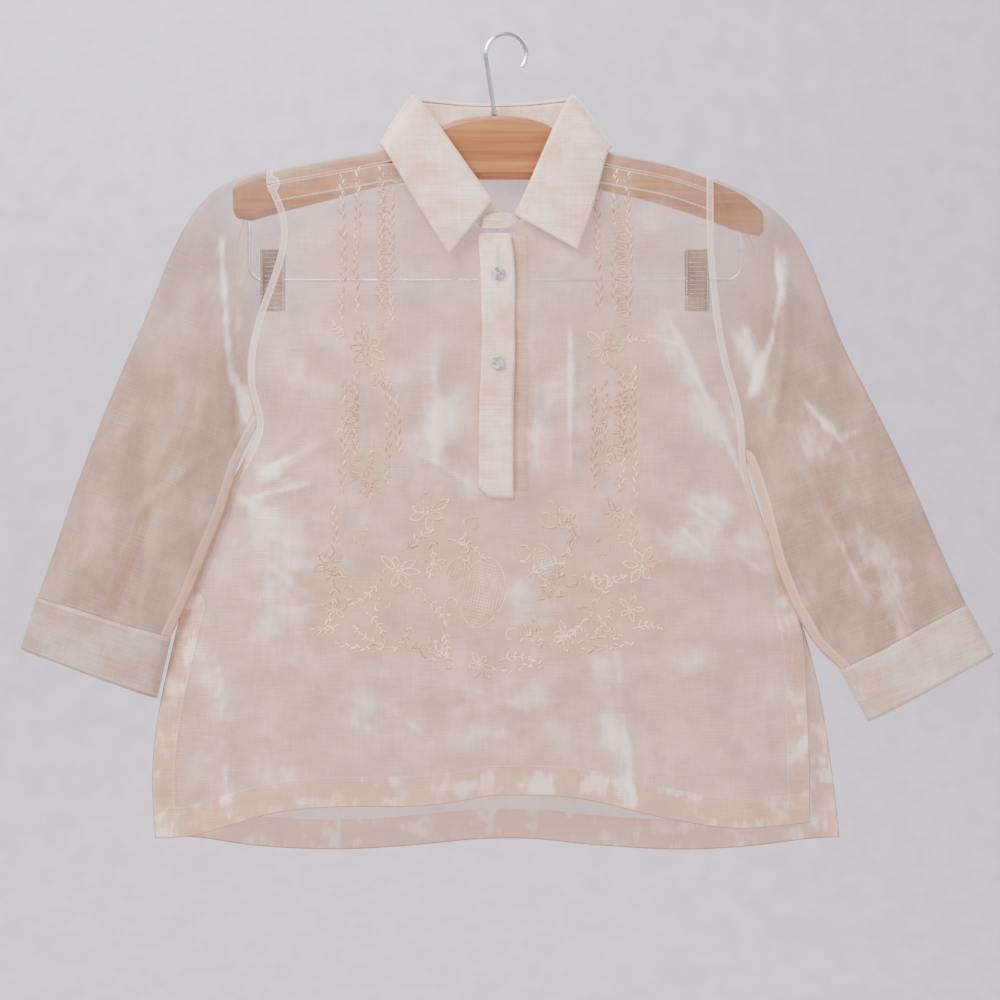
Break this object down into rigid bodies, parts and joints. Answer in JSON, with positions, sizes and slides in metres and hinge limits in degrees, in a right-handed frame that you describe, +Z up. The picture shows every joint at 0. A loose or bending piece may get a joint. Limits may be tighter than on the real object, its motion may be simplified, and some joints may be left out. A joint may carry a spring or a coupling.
{
  "type": "barong tagalog shirt on a trouser hanger",
  "caption": "Sheer embroidered pullover dress shirt with collar, half placket and cuffs, hung flat on a wooden hanger with a wire hook, trouser bar and clips.",
  "frame": {"origin": "inner top of the hook, where it rests on a rail, in the hanger's middle plane", "axes": "+Z up, the shirt's front faces -Y, +X to the viewer's right"},
  "size_m": [0.8127, 0.0404, 0.6854],
  "materials": {
    "sheer_cloth": "sheer stiff plain weave, one layer",
    "double_cloth": "the same cloth in two layers, pressed",
    "clear_button": "clear pearly plastic",
    "varnished_wood": "satin varnish",
    "polished_wire": "polished"
  },
  "bodies": {
    "root": {"front": "sheer_cloth", "back": "sheer_cloth", "sleeve_left": "sheer_cloth", "sleeve_right": "sheer_cloth", "cuff_left": "double_cloth", "cuff_right": "double_cloth", "collar_stand": "double_cloth", "collar_fall": "double_cloth", "placket": "double_cloth", "placket_under": "double_cloth", "sleeve_opening_left": "double_cloth", "sleeve_opening_right": "double_cloth", "button_1": "clear_button", "button_2": "clear_button", "cuff_button_left": "clear_button", "cuff_button_right": "clear_button", "hanger_wood": "varnished_wood", "hanger_hook": "polished_wire", "hanger_bar": "polished_wire", "hanger_clip_left": "polished_wire", "hanger_clip_right": "polished_wire"}
  },
  "joints": []
}
